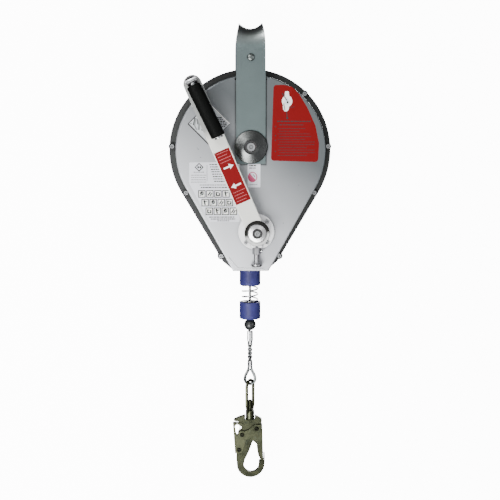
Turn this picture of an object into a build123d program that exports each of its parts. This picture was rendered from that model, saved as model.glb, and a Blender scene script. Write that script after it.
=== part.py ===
"""Self retracting lifeline with a rescue crank: teardrop housing, wire rope drum, anchor bail and snap hook.

Everything is laid out around the drum axis (Y) and moved down at export, so that the origin lies under the
anchor bail's saddle, where the connector that carries the device bears. +Z is up, -Y is the crank side.
"""
from build123d import *
from math import acos, asin, atan2, cos, degrees, hypot, pi, radians, sin, sqrt, tan
import os

# ---- driving dimensions, millimetres ----
saddle_under_z = 210.0      # drum axis to the underside of the bail's saddle

# housing outline
rim_r = 151.0               # flange radius of the round upper part
rim_drop = 7.0              # the round part's centre lies this far below the drum axis
bottom_z = -229.5
rim_corner = (52.0, -216.0)
rim_foot = 36.0             # half width of the flange at the bottom
face_inset = 13.5           # front face outline inside the flange outline
face_foot = 33.0
wall = 3.0
face_y = 47.0               # outer face of each cover from the middle plane
flange_t = 6.0
gasket_t = 1.5
boss_r = 6.6

# anchor bail
bail_w = 53.5
bail_t = 5.0
leg_in_y = 44.0             # inner face of each leg
leg_foot_z = -31.0
channel_w = 58.5
cross_pin_z = 161.8
cross_pin_r = 5.0
saddle_rise = 10.5          # how far the saddle's edges stand above its valley
bail_corner_r = 22.5

# drum and its shaft
shaft_r = 12.0
shaft_end_r = 10.0
drum_r = 50.0
drum_flange_r = 92.0
drum_half_w = 17.0
drum_plate = 4.0
rope_r = 2.4
rope_layer_r = 76.0         # drum axis to the rope that is paid out

# retrieval gears: stub involute teeth
module = 3.0
pressure_deg = 25.0
ring_teeth, idler_teeth, pinion_teeth = 64, 14, 12
gear_y0, gear_y1 = -29.0, -21.0
tooth_thin = 0.13           # taken off each flank
crank_line_deg = 3.68       # drum axis to crank axis, away from straight down
crank_shift = 8.5           # travel of the crank shaft from free to geared

# crank
arm_lean_deg = 23.3
arm_w = 33.0
arm_t = 6.0
arm_len = 291.0
arm_back_y = -78.0
hub_y = -86.0               # front of the crank's hub
hub_collar_r = 23.0
grip_pivot_at = 297.0
grip_axis_y = -98.5
grip_lean_deg = 26.0
grip_r = 12.9
grip_near, grip_far = 9.0, 109.0

# lifeline
outlet_z = -222.0
bumper_r = 19.8
upper_bumper = (-261.8, -230.3)
lower_bumper = (-326.9, -294.2)
pocket_r = 16.6
ball_r = 11.3
ball_z = -338.8
ferrule = (-371.0, -351.4)
leg_x = 2.5                 # half the distance between the two rope legs under the ferrule
loop_x = 10.3
loop_start_z = -425.0
loop_top_z = -440.5
loop_bottom_z = -455.6
thimble_r = 3.4

# snap hook, heights below the swivel collar's top
hook_z = -506.6
eye_turn_deg = 57.7
eye_bar_r = 3.0
eye_half_w = 12.2
eye_top_z = -447.8
collar_r = 8.4
collar_h = 18.0
hook_half_t = 4.5
gate_pivot = (12.3, -35.3)
gate_tail = (-15.6, -47.3)
lock_pivot = (-21.6, -77.7)

crank_dx = sin(radians(crank_line_deg))
crank_dz = -cos(radians(crank_line_deg))
ring_pitch_r = module * ring_teeth / 2
idler_pitch_r = module * idler_teeth / 2
pinion_pitch_r = module * pinion_teeth / 2
idler_d = ring_pitch_r + idler_pitch_r
crank_d = idler_d + idler_pitch_r + pinion_pitch_r
idler_x, idler_z = idler_d * crank_dx, idler_d * crank_dz
crank_x, crank_z = crank_d * crank_dx, crank_d * crank_dz
arm_dx, arm_dz = -sin(radians(arm_lean_deg)), cos(radians(arm_lean_deg))
grip_dx, grip_dz = -sin(radians(grip_lean_deg)), cos(radians(grip_lean_deg))

made = {}


# ---- small helpers ----
def keep(name, *solids):
    """Names a finished piece, or a group of like pieces."""
    made[name] = list(solids)


def slab(sketch, y0, y1):
    """A sketch drawn in X and Z, made solid from y0 to y1."""
    return extrude(Plane((0, y1, 0), x_dir=(1, 0, 0), z_dir=(0, -1, 0)) * sketch, amount=y1 - y0)


def disc(r, y0, y1, x=0.0, z=0.0):
    return slab(Pos(x, z) * Circle(r), y0, y1)


def ring(r_out, r_in, y0, y1, x=0.0, z=0.0):
    return slab(Pos(x, z) * (Circle(r_out) - Circle(r_in)), y0, y1)


def post(r, z0, z1, x=0.0, y=0.0):
    """A cylinder along Z."""
    return Pos(x, y, (z0 + z1) / 2) * Cylinder(r, z1 - z0)


def block(x0, x1, y0, y1, z0, z1):
    return Pos((x0 + x1) / 2, (y0 + y1) / 2, (z0 + z1) / 2) * Box(x1 - x0, y1 - y0, z1 - z0)


def turned(points, x=0.0, z=0.0):
    """Turns a closed outline of (radius, y) about an axis along Y."""
    face = make_face(Polyline(*[(r, y, 0) for r, y in points], close=True))
    return Pos(x, 0, z) * revolve(face, axis=Axis.Y)


def turned_z(points, x=0.0, y=0.0):
    """Turns a closed outline of (radius, z) about an axis along Z."""
    face = make_face(Polyline(*[(r, 0, z) for r, z in points], close=True))
    return Pos(x, y, 0) * revolve(face, axis=Axis.Z)


def tangent_point(px, pz, r):
    """Where the line from (px, pz), on the right of the Z axis, touches a circle about the origin."""
    angle = atan2(pz, px) + acos(r / hypot(px, pz))
    return r * cos(angle), r * sin(angle)


def teardrop(r, corner, foot, bottom=bottom_z):
    """The housing's outline: a circle with two straight sides that run down to the foot."""
    cx, cz = corner[0], corner[1] + rim_drop
    tx, tz = tangent_point(cx, cz, r)
    low = bottom + rim_drop
    edges = ThreePointArc((tx, tz), (0, r), (-tx, tz))
    edges += Line((-tx, tz), (-cx, cz))
    if abs(cz - low) > 0.01:
        edges += Line((-cx, cz), (-foot, low))
        edges += Line((-foot, low), (foot, low))
        edges += Line((foot, low), (cx, cz))
    else:
        edges += Line((-cx, cz), (cx, cz))
    edges += Line((cx, cz), (tx, tz))
    return Pos(0, -rim_drop) * make_face(edges)


def face_outline(inset, bottom=bottom_z):
    """The pan's outline, measured in from the flange."""
    foot = face_foot + face_inset - inset
    return teardrop(rim_r - inset, (foot, bottom), foot, bottom)


def hull_of(*circles):
    """Outline round circles given as (x, z, r), in order, as the union of neighbouring pairs."""
    shape = None
    for (xa, za, ra), (xb, zb, rb) in zip(circles, circles[1:]):
        pair = make_hull(((Pos(xa, za) * Circle(ra)) + (Pos(xb, zb) * Circle(rb))).edges())
        shape = pair if shape is None else shape + pair
    return shape


def involute(a):
    return tan(a) - a


def gear_outline(teeth, first_deg):
    """A stub involute gear; one tooth is centred on first_deg, measured from +X to +Z."""
    rp = module * teeth / 2
    rb = rp * cos(radians(pressure_deg))
    ra, rf = rp + 0.8 * module, rp - 1.05 * module
    half_p = pi / 2 / teeth - tooth_thin / rp

    def half(r):
        return half_p + involute(radians(pressure_deg)) - involute(acos(min(1.0, rb / r)))

    radii = [rf, max(rb, rf + 0.3), rp, ra]
    points = []
    for k in range(teeth):
        middle = radians(first_deg) + 2 * pi * k / teeth
        flank = [(r, half(r)) for r in radii]
        for r, h in flank:
            points.append((r * cos(middle - h), r * sin(middle - h)))
        for r, h in reversed(flank):
            points.append((r * cos(middle + h), r * sin(middle + h)))
    return make_face(Polyline(*points, close=True))


# ---- housing ----
screw_spots = (
    [(145.7 * cos(radians(a)), 145.7 * sin(radians(a)) - rim_drop) for a in (3, 46, 90, 134, 177)]
    + [(s * x, z) for s in (1, -1) for x, z in ((120.5, -86.0), (55.0, -205.5))]
)
hub_screw_r = 27.5
hub_screw_angles = (45, 135, 225, 315)


def cover(side):
    """One half of the housing; side -1 is the crank side, +1 the far side."""
    inner = gasket_t / 2
    back = flange_t + inner
    floor = bottom_z + wall
    flange = slab(teardrop(rim_r, rim_corner, rim_foot), -back, -inner)
    flange = fillet(flange.edges().group_by(Axis.Y)[0], 1.2)
    wide = face_inset - 2.5
    pan = loft([
        Plane((0, -inner - 0.5, 0), x_dir=(1, 0, 0), z_dir=(0, -1, 0)) * face_outline(wide),
        Plane((0, -face_y, 0), x_dir=(1, 0, 0), z_dir=(0, -1, 0)) * face_outline(face_inset),
    ], ruled=True)
    pan = fillet(pan.edges().group_by(Axis.Y)[0], 2.6)
    body = flange + pan
    for x, z in screw_spots:
        body += disc(boss_r, -back - 3.0, -back + 1.0, x, z)
    inside_back = Plane((0, 1.0, 0), x_dir=(1, 0, 0), z_dir=(0, -1, 0))
    inside_front = Plane((0, -face_y + wall, 0), x_dir=(1, 0, 0), z_dir=(0, -1, 0))
    body -= loft([
        inside_back * face_outline(wide + wall, floor),
        inside_front * face_outline(face_inset + wall, floor),
    ], ruled=True)
    # shallow channel that takes the bail's leg, with the wall carried inward behind it
    half = channel_w / 2
    top = rim_r - rim_drop - face_inset
    body += block(-half - wall, half + wall, -face_y + wall - 0.5, -face_y + 2 * wall,
                  leg_foot_z - 6.0, top - 9.0)
    body -= block(-half, half, -face_y - 1.0, -face_y + wall, leg_foot_z - 2.5, top + 20.0)
    body -= disc(shaft_end_r + 0.15, -face_y - 1, -30)
    for x, z in screw_spots:
        body -= disc(2.6 if side < 0 else 2.55, -20, 0, x, z)
    body -= post(16.2, bottom_z - 1, bottom_z + 12)
    if side < 0:
        body += disc(9.0, -face_y + 1.0, gear_y0 - 2.0, idler_x, idler_z)
        body -= disc(5.0, -face_y + 1.5, 0, idler_x, idler_z)
        body -= disc(22.4, -face_y - 1, -30, crank_x, crank_z)
        for a in hub_screw_angles:
            body -= disc(2.1, -face_y - 1, -40, crank_x + hub_screw_r * cos(radians(a)),
                         crank_z + hub_screw_r * sin(radians(a)))
    else:
        body = body.mirror(Plane.XZ)
    return body


def gasket():
    middle = teardrop(rim_r - 1.2, (rim_corner[0] - 1, rim_corner[1]), rim_foot - 1)
    body = slab(middle - face_outline(face_inset - 2.5 + wall, bottom_z + wall), -gasket_t / 2, gasket_t / 2)
    for x, z in screw_spots:
        body -= disc(2.6, -2, 2, x, z)
    return body - post(16.2, bottom_z - 1, bottom_z + 12)


def socket_screw(x, z, y_seat, head_r, head_h, shank_r, shank_l, socket_r):
    """A socket head screw that points along +Y from its seat."""
    head = disc(head_r, y_seat - head_h, y_seat, x, z)
    head = chamfer(head.edges().group_by(Axis.Y)[0], head_r * 0.12)
    hexagon = Pos(x, z) * RegularPolygon(socket_r, 6)
    return (head + disc(shank_r, y_seat, y_seat + shank_l, x, z)
            - slab(hexagon, y_seat - head_h, y_seat - head_h * 0.45))


def housing():
    keep("front_cover", cover(-1))
    keep("rear_cover", cover(1))
    keep("cover_gasket", gasket())
    seat = -(flange_t + gasket_t / 2 + 3.0)
    keep("cover_screws", *[socket_screw(x, z, seat, 4.3, 4.6, 2.5, 17.5, 2.3) for x, z in screw_spots])


# ---- anchor bail ----
def bail_section(where, width, rise):
    """The strap's section: flat on the legs, and dished outward on the saddle."""
    h, t = width / 2, bail_t / 2
    outer = Spline((-h, -t - rise), (0, -t), (h, -t - rise))
    inner = Spline((h, t - rise), (0, t), (-h, t - rise))
    return where * make_face([outer, Line(outer @ 1, inner @ 0), inner, Line(inner @ 1, outer @ 0)])


def anchor_bail():
    mid = leg_in_y + bail_t / 2
    straight = saddle_under_z + bail_t / 2 - bail_corner_r
    sections = [bail_section(Plane((0, -mid, z), x_dir=(1, 0, 0), z_dir=(0, 0, 1)), w, s)
                for z, w, s in ((174, bail_w, 0), (straight, bail_w - 0.8, 0.9))]
    for a, w, s in ((30, 50.0, 3.6), (60, 45.4, 7.6), (90, 42.4, saddle_rise)):
        c, n = cos(radians(a)), sin(radians(a))
        at = (0, -mid + bail_corner_r * (1 - c), straight + bail_corner_r * n)
        sections.append(bail_section(Plane(at, x_dir=(1, 0, 0), z_dir=(0, n, c)), w, s))
    top = (0, 0, saddle_under_z + bail_t / 2)
    sections.append(bail_section(Plane(top, x_dir=(1, 0, 0), z_dir=(0, 1, 0)), 42.4, saddle_rise))
    half = loft(sections)
    leg = block(-bail_w / 2, bail_w / 2, -mid - bail_t / 2, -mid + bail_t / 2, leg_foot_z, 174)
    leg = fillet(leg.edges().filter_by(Axis.Y).group_by(Axis.Z)[0], 2.0)
    half += leg
    body = half + half.mirror(Plane.XZ)
    body -= disc(shaft_end_r + 0.15, -60, 60)
    body -= disc(cross_pin_r + 0.05, -60, 60, 0, cross_pin_z)
    return body


def cross_pin():
    end = leg_in_y + bail_t
    dome = [(0, end + 3.6), (3.0, end + 3.3), (5.2, end + 2.4), (6.7, end + 1.0), (7.0, end)]
    profile = dome + [(cross_pin_r, end), (cross_pin_r, -end)] + [(r, -y) for r, y in reversed(dome)]
    return turned(profile, 0, cross_pin_z)


def clamp_washer():
    seat = -(leg_in_y + bail_t)
    return turned([(5.3, seat), (30.4, seat), (30.4, seat - 1.6), (29.4, seat - 2.4), (13.6, seat - 7.0),
                   (11.0, seat - 7.0), (11.0, seat - 3.2), (5.3, seat - 3.2)])


def anchorage():
    keep("anchor_bail", anchor_bail())
    keep("bail_cross_pin", cross_pin())
    keep("clamp_washers", clamp_washer(), clamp_washer().mirror(Plane.XZ))
    seat = -(leg_in_y + bail_t) - 3.2
    bolt = socket_screw(0, 0, seat, 8.2, 6.2, 5.2, 26.0, 4.6)
    keep("shaft_bolts", bolt, bolt.mirror(Plane.XZ))


# ---- drum, brake and power spring ----
collar_y = (-24.0, -21.5)
arbor = (24.0, 40.0)


def main_shaft():
    y = face_y - 2 * wall - 0.3
    body = turned([(5.25, -leg_in_y - 4.0), (shaft_end_r, -leg_in_y - 4.0), (shaft_end_r, -y), (shaft_r, -y),
                   (shaft_r, collar_y[0]), (30.0, collar_y[0]), (30.0, collar_y[1]), (shaft_r, collar_y[1]),
                   (shaft_r, y), (shaft_end_r, y), (shaft_end_r, leg_in_y + 4.0), (5.25, leg_in_y + 4.0)])
    return body


def drum_hub():
    return turned([(15.0, -20.5), (20.0, -20.5), (20.0, -4.0), (44.0, -4.0), (44.0, -drum_half_w),
                   (drum_r, -drum_half_w), (drum_r, drum_half_w), (44.0, drum_half_w), (44.0, 4.0),
                   (20.0, 4.0), (20.0, 20.5), (15.0, 20.5)])


def wound_rope():
    """The rope on the drum: layers side by side, drawn as one ring with a rounded outer turn each."""
    turns = 7
    half = 16.8
    step = 2 * half / turns
    edges = Line((drum_r + 0.02, -half), (72.0, -half))
    for k in range(turns):
        y = -half + k * step
        edges += ThreePointArc((72.0, y), (73.5, y + step / 2), (72.0, y + step))
    edges += Line((72.0, half), (drum_r + 0.02, half))
    edges += Line((drum_r + 0.02, half), (drum_r + 0.02, -half))
    return revolve(make_face(edges), axis=Axis.Y)


def power_spring():
    """A flat strip coiled in half turns whose centres step from side to side."""
    r, thick, step = 19.5, 1.2, 2.6
    half_turns = 24
    inner, outer = [], []
    x = 0.0
    for k in range(half_turns):
        up = 1 if k % 2 == 0 else -1
        inner.append(ThreePointArc((x - up * r, 0), (x, up * r), (x + up * r, 0)))
        far = r + thick
        outer.append(ThreePointArc((x - up * far, 0), (x, up * far), (x + up * far, 0)))
        x -= up * step
        r += step
    start = Line(inner[0] @ 0, outer[0] @ 0)
    end = Line(inner[-1] @ 1, outer[-1] @ 1)
    return slab(make_face([start, end] + inner + outer), 24.5, 38.5)


ratchet_face_deg = -33.5
ratchet_teeth = 8


def ratchet_wheel():
    points = []
    pitch = 360 / ratchet_teeth
    for k in range(ratchet_teeth):
        low = radians(ratchet_face_deg + k * pitch)
        points += [(38.0 * cos(low), 38.0 * sin(low))]
        for share in (0.25, 0.5, 0.75, 0.999):
            a = low + radians(pitch) * share
            r = 38.0 + 8.0 * share
            points.append((r * cos(a), r * sin(a)))
    return slab(make_face(Polyline(*points, close=True)) - Circle(shaft_r + 0.1), -30.0, -25.5)


pawl_pivot = 58.0


def pawl(turn_deg):
    """A pawl on the drum's front flange; it swings in to catch the ratchet wheel."""
    nose = Line((41.0, -25.0), (46.0, -28.4))
    arm = make_hull([*(Pos(pawl_pivot, 0) * Circle(7.0)).edges(), *nose.edges()])
    tail = hull_of((pawl_pivot, 0, 7.0), (60.0, 13.0, 6.0))
    shape = slab((arm + tail) - Pos(pawl_pivot, 0) * Circle(3.05), -29.3, -23.3)
    return Rot(0, turn_deg, 0) * shape


def drum():
    keep("main_shaft", main_shaft())
    keep("drum_hub", drum_hub())
    for name, y0 in (("front_drum_flange", -drum_half_w - drum_plate), ("rear_drum_flange", drum_half_w)):
        plate = ring(drum_flange_r, 20.05, y0, y0 + drum_plate)
        for a in range(30, 390, 60):
            plate -= disc(9.0, y0 - 1, y0 + 5, 33 * cos(radians(a)), 33 * sin(radians(a)))
        if y0 < 0:
            for s in (1, -1):
                plate -= disc(3.0, y0 - 1, y0 + 5, s * pawl_pivot, 0)
        keep(name, plate)
    keep("wound_rope", wound_rope())
    keep("ring_gear", slab(gear_outline(ring_teeth, degrees(atan2(crank_dz, crank_dx))) - Circle(72.5),
                           gear_y0, gear_y1))
    keep("drum_bushes", ring(15.0, shaft_r + 0.05, -20.5, -8), ring(15.0, shaft_r + 0.05, 8, 20.5))
    keep("pawl_pins", *[disc(3.0, -29.8, -drum_half_w, s * pawl_pivot, 0) for s in (1, -1)])
    keep("pawl_right", pawl(0))
    keep("pawl_left", pawl(180))
    keep("spring_case", turned([(20.6, 21.0), (90.0, 21.0), (90.0, 40.5), (87.5, 40.5), (87.5, 23.5),
                                (20.6, 23.5)]))
    keep("power_spring", power_spring())
    keep("spring_arbor", ring(18.8, shaft_r + 0.05, *arbor))


def brake():
    keep("ratchet_wheel", ratchet_wheel())
    keep("brake_linings", ring(29.5, 14.0, -25.5, -24.0), ring(29.5, 14.0, -31.5, -30.0))
    keep("brake_pressure_plate", ring(29.5, shaft_r + 0.1, -34.0, -31.5))
    dished = [(13.0, -37.0), (14.4, -37.0), (25.0, -35.2), (25.0, -34.0), (23.6, -34.0), (13.0, -35.8)]
    keep("brake_disc_spring", turned(dished))
    nut = slab(RegularPolygon(20.0, 6) - Circle(shaft_r + 0.02), -40.4, -37.0)
    keep("brake_nut", nut)


# ---- retrieval gear train and crank ----
plunger_y = -58.0
neck_foot = crank_z - 28.5


def hub_housing():
    x, z = crank_x, crank_z
    body = disc(33.4, -52.0, -face_y, x, z)
    body = chamfer(body.edges().group_by(Axis.Y)[0], 1.0)
    boss = disc(21.0, -63.0, -52.0, x, z)
    body += chamfer(boss.edges().group_by(Axis.Y)[0], 1.2)
    neck = block(x - 10.5, x + 10.5, -62.5, -51.5, neck_foot, z)
    neck = fillet(neck.edges().filter_by(Axis.Z), 2.0)
    body += neck
    body += disc(22.2, -face_y, -43.6, x, z)
    body -= disc(15.05, -52.0, -43.0, x, z)
    body -= disc(9.15, -64.0, -51.0, x, z)
    body -= post(2.6, neck_foot - 1, z, x, plunger_y)
    body -= post(5.0, neck_foot - 1, neck_foot + 12.0, x, plunger_y)
    body -= post(8.0, z - 40.0, neck_foot, x, plunger_y)
    for a in hub_screw_angles:
        body -= disc(2.1, -53, -40, x + hub_screw_r * cos(radians(a)), z + hub_screw_r * sin(radians(a)))
    return body


def crank_shaft():
    x, z = crank_x, crank_z
    front = hub_y - 1.0
    return turned([(4.05, front), (9.0, front), (9.0, -69.4), (7.0, -69.4), (7.0, -55.0), (9.0, -55.0),
                   (9.0, -39.1), (8.0, -39.1), (8.0, -30.9), (0, -30.9), (0, -60.0), (4.05, -60.0)], x, z)


def on_arm(along, across=0.0):
    """A point on the crank arm, along it from the crank's axis and across it."""
    return (crank_x + along * arm_dx + across * arm_dz, crank_z + along * arm_dz - across * arm_dx)


def crank_arm():
    ex, ez = on_arm(arm_len)
    sx, sz = on_arm(18.0)
    lean = Pos((ex + sx) / 2, (ez + sz) / 2) * Rot(0, 0, arm_lean_deg) * Rectangle(arm_w, arm_len - 18.0)
    shape = lean + Pos(ex, ez) * Circle(arm_w / 2)
    bar = slab(shape, arm_back_y - arm_t, arm_back_y)
    bar = fillet(bar.edges().group_by(Axis.Y)[0], 1.4)
    return bar - disc(hub_collar_r + 0.05, -95, -60, crank_x, crank_z)


def grip_frame(along):
    """A plane at the grip's pivot height: x across the arm, z along it towards the crank's axis."""
    x, z = on_arm(along)
    return Plane((x, grip_axis_y, z), x_dir=(grip_dz, 0, -grip_dx), z_dir=(-grip_dx, 0, -grip_dz))


def clevis():
    """Two ears that stand on the arm's round end and hold the grip's pivot pin."""
    pivot = grip_frame(grip_pivot_at)
    where = Plane(pivot.origin, x_dir=pivot.z_dir, z_dir=pivot.x_dir)
    face = arm_back_y - arm_t
    drop = face - grip_axis_y
    ear = make_hull([*Circle(6.6).edges(), *Line((-7.5, drop), (9.0, drop)).edges(),
                     *Line((-7.5, drop - 1.0), (9.0, drop - 1.0)).edges()])
    flip = where.y_dir.Y
    if flip < 0:
        ear = mirror(ear, Plane.XZ)
    body = None
    for side in (-1, 1):
        start = 5.3 if side > 0 else -9.3
        one = extrude(Plane(where.origin + where.z_dir * start, x_dir=where.x_dir, z_dir=where.z_dir) * ear,
                      amount=4.0)
        body = one if body is None else body + one
    base = make_face(Polyline((-7.5, drop), (9.0, drop), (9.0, drop - 2.0), (-7.5, drop - 2.0), close=True))
    if flip < 0:
        base = mirror(base, Plane.XZ)
    body += extrude(Plane(where.origin + where.z_dir * -9.3, x_dir=where.x_dir, z_dir=where.z_dir) * base,
                    amount=18.6)
    return body - cross_rod(3.0, 12.0)


def cross_rod(r, half):
    """A rod across the arm through the grip's pivot."""
    where = grip_frame(grip_pivot_at)
    return Plane(where.origin, x_dir=where.z_dir, z_dir=where.x_dir) * Cylinder(r, 2 * half)


def along_grip(r0, r1, near, far):
    """A round piece on the grip's axis, from near to far of the pivot."""
    where = grip_frame(grip_pivot_at)
    body = Cone(r0, r1, far - near) if r0 != r1 else Cylinder(r0, far - near)
    return where * (Pos(0, 0, (near + far) / 2) * body)


def grip_spindle():
    body = along_grip(4.8, 4.8, 0.0, 110.0) + along_grip(8.0, 8.0, grip_far + 0.4, grip_far + 3.4)
    body += cross_rod(6.2, 5.0)
    return body - cross_rod(3.05, 12.0)


def grip_handle():
    body = along_grip(grip_r, grip_r, grip_near, grip_far)
    body = fillet(body.edges(), 2.4)
    return body - along_grip(5.0, 5.0, grip_near - 1, grip_far + 1)


def retrieval():
    x, z = crank_x, crank_z
    keep("hub_housing", hub_housing())
    spots = [(x + hub_screw_r * cos(radians(a)), z + hub_screw_r * sin(radians(a))) for a in hub_screw_angles]
    keep("hub_screws", *[socket_screw(sx, sz, -52.0, 3.5, 3.0, 2.1, 10.0, 1.9) for sx, sz in spots])
    hexagon = turned_z([(2.6, neck_foot - 12.2), (7.6, neck_foot - 12.2), (7.6, neck_foot - 0.2),
                        (4.9, neck_foot - 0.2), (4.9, neck_foot + 6.0), (2.6, neck_foot + 6.0)], x, plunger_y)
    hexagon &= (Pos(x, plunger_y, neck_foot - 5) * extrude(RegularPolygon(8.3, 6), 30, both=True))
    keep("plunger_body", hexagon)
    tip, foot = crank_z - 7.3, neck_foot
    knob = turned_z([(0, tip), (2.45, tip), (2.45, foot - 12.4), (5.2, foot - 12.8), (5.2, foot - 25.0),
                     (6.2, foot - 29.0), (10.4, foot - 30.5), (10.4, foot - 33.5), (9.0, foot - 35.3),
                     (0, foot - 35.3)], x, plunger_y)
    knob += post(4.4, neck_foot + 10.6, neck_foot + 11.6, x, plunger_y)
    keep("plunger_knob", knob)
    keep("plunger_spring", helix_spring(3.6, 0.4, neck_foot + 6.5, neck_foot + 10.2, 1.1, x, plunger_y))
    keep("idler_pin", disc(5.0, -face_y + 1.5, gear_y1 + 0.2, idler_x, idler_z)
         + disc(8.0, gear_y1 + 0.2, gear_y1 + 2.2, idler_x, idler_z))
    toward_crank = degrees(atan2(crank_dz, crank_dx))
    idler = Pos(idler_x, idler_z) * gear_outline(idler_teeth, toward_crank + 180 / idler_teeth)
    keep("idler_gear", slab(idler - Pos(idler_x, idler_z) * Circle(5.05), gear_y0, gear_y1))
    pinion = Pos(x, z) * gear_outline(pinion_teeth, toward_crank + 180)
    keep("crank_pinion", slab(pinion - Pos(x, z) * Circle(8.03), -39.0, -31.0))
    keep("crank_sleeve", ring(15.0, 9.06, -51.9, -43.6, x, z))
    keep("crank_shaft", crank_shaft())
    hub = ring(hub_collar_r, 9.03, hub_y, arm_back_y, x, z)
    keep("crank_hub", chamfer(hub.edges().group_by(Axis.Y)[0].filter_by(lambda e: e.length > 100), 0.8))
    h = hub_y
    keep("crank_cap", turned([(4.2, h - 1.2), (9.0, h - 1.2), (9.0, h), (17.0, h), (17.0, h - 2.6),
                              (15.6, h - 3.6), (9.4, h - 4.6), (7.6, h - 4.6), (7.6, h - 2.6),
                              (4.2, h - 2.6)], x, z))
    keep("crank_bolt", socket_screw(x, z, hub_y - 2.6, 5.6, 4.2, 4.0, 20.0, 3.4))
    keep("crank_arm", crank_arm())
    keep("grip_clevis", clevis())
    keep("grip_pivot_pin", cross_rod(3.0, 10.6))
    keep("grip_spindle", grip_spindle())
    keep("grip_handle", grip_handle())


# ---- lifeline ----
def helix_spring(mean_r, wire_r, z0, z1, pitch, x=0.0, y=0.0):
    """An open coil spring along Z with plain ends."""
    path = Pos(x, y, z0) * Helix(pitch=pitch, height=z1 - z0, radius=mean_r)
    start = path @ 0
    face = Plane(origin=start, z_dir=path % 0) * Circle(wire_r)
    return sweep(face, path=path, is_frenet=True)


def rope_path(points, radii):
    return FilletPolyline(*[(x, 0, z) for x, z in points], radius=radii)


def rope_along(path, r=rope_r):
    return sweep(Plane(origin=path @ 0, z_dir=path % 0) * Circle(r), path=path)


loop_points = [(-leg_x, loop_start_z), (-loop_x, loop_top_z), (-loop_x, loop_bottom_z),
               (loop_x, loop_bottom_z), (loop_x, loop_top_z), (leg_x, loop_start_z)]
loop_radii = [22.0, 10.2, 10.2, 22.0]


def lifeline_rope():
    points = [(0, outlet_z), (0, ball_z + 4.0), (-leg_x, ferrule[1] - 7.0), *loop_points]
    points.append((leg_x, ferrule[1] - 1.0))
    radii = [60.0, 60.0, 22.0, *loop_radii, 22.0]
    path = rope_path(points, radii)
    print("lifeline rope length", round(path.length, 1), "radii", radii)
    return rope_along(path), path.length


def rope_lead():
    """The fixed line the rope follows from the drum's rim to the outlet."""
    bend_z = outlet_z + 12.0
    tx, tz = tangent_point(0.001, bend_z, rope_layer_r)
    path = rope_path([(tx, tz), (0, bend_z), (0, outlet_z)], [28.0])
    return rope_along(path)


def thimble():
    """A grooved steel teardrop inside the rope's eye."""
    path = rope_path(loop_points, loop_radii)
    start = path @ 0
    aim = path % 0
    section = (Circle(thimble_r) - Circle(rope_r + 0.02)) & (Pos(-thimble_r, 0) * Rectangle(2 * thimble_r, 8))
    inward = Vector(0, 1, 0).cross(aim)
    if inward.X < 0:
        inward = inward * -1
    face = Plane(origin=start, x_dir=inward * -1, z_dir=aim) * section
    return sweep(face, path=path)


def lifeline():
    rope, _ = lifeline_rope()
    keep("lifeline_rope", rope)
    keep("rope_lead", rope_lead())
    keep("rope_nozzle", turned_z([(3.0, bottom_z + 0.2), (16.0, bottom_z + 0.2), (16.0, bottom_z + 3.2),
                                  (20.0, bottom_z + 3.2), (20.0, bottom_z + 7.0), (15.0, bottom_z + 16.0),
                                  (9.5, bottom_z + 16.0), (3.0, bottom_z + 6.5)]))
    top = post(bumper_r, *upper_bumper)
    top = fillet(top.edges().group_by(Axis.Z)[0], 1.2)
    top -= post(3.2, upper_bumper[0] - 1, upper_bumper[1] + 1)
    top -= post(pocket_r, upper_bumper[0] - 1, upper_bumper[0] + 13.0)
    keep("upper_bumper", top)
    low = post(bumper_r + 0.2, *lower_bumper)
    low = fillet(low.edges().group_by(Axis.Z)[0], 2.6)
    low = fillet(low.edges().group_by(Axis.Z)[-1], 0.8)
    low -= post(3.2, lower_bumper[0] - 1, lower_bumper[1] + 1)
    low -= post(pocket_r, lower_bumper[1] - 12.0, lower_bumper[1] + 1)
    keep("lower_bumper", low)
    keep("bumper_spring", helix_spring(14.6, 1.1, lower_bumper[1] - 10.6, upper_bumper[0] + 11.6, 9.6))
    ball = Pos(0, 0, ball_z) * Sphere(ball_r)
    ball &= block(-20, 20, -20, 20, ball_z - 20, lower_bumper[0] - 0.25)
    keep("ball_stop", ball - post(rope_r + 0.02, ball_z - 20, ball_z + 20) - rope)
    oval = SlotOverall(11.4, 6.8)
    sleeve = Pos(0, 0, ferrule[0]) * extrude(oval, ferrule[1] - ferrule[0])
    sleeve = fillet(sleeve.edges().group_by(Axis.Z)[-1] + sleeve.edges().group_by(Axis.Z)[0], 0.8)
    keep("rope_ferrule", sleeve - rope)
    keep("thimble", thimble())


# ---- snap hook ----
def hook_plane_part(sketch, y0, y1):
    return Pos(0, 0, hook_z) * slab(sketch, y0, y1)


def swivel_eye():
    """A forged eye with a round collar under it, turned about Z from the hook's plane."""
    arc_z = eye_top_z - eye_half_w
    foot = hook_z - 3.0
    path = Line((-eye_half_w + 4.5, 0, foot), (-eye_half_w, 0, foot + 14.0))
    path += Line((-eye_half_w, 0, foot + 14.0), (-eye_half_w, 0, arc_z))
    path += ThreePointArc((-eye_half_w, 0, arc_z), (0, 0, eye_top_z), (eye_half_w, 0, arc_z))
    path += Line((eye_half_w, 0, arc_z), (eye_half_w, 0, foot + 14.0))
    path += Line((eye_half_w, 0, foot + 14.0), (eye_half_w - 4.5, 0, foot))
    section = Plane(origin=path @ 0, z_dir=path % 0) * Circle(eye_bar_r)
    bar = sweep(section, path=path, transition=Transition.ROUND)
    collar = post(collar_r, hook_z - collar_h, hook_z)
    collar = fillet(collar.edges().group_by(Axis.Z)[-1], 1.4)
    collar = fillet(collar.edges().group_by(Axis.Z)[0], 2.2)
    body = bar + collar
    body -= post(4.1, hook_z - collar_h - 5, hook_z + 8)
    return Rot(0, 0, eye_turn_deg) * body


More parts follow.
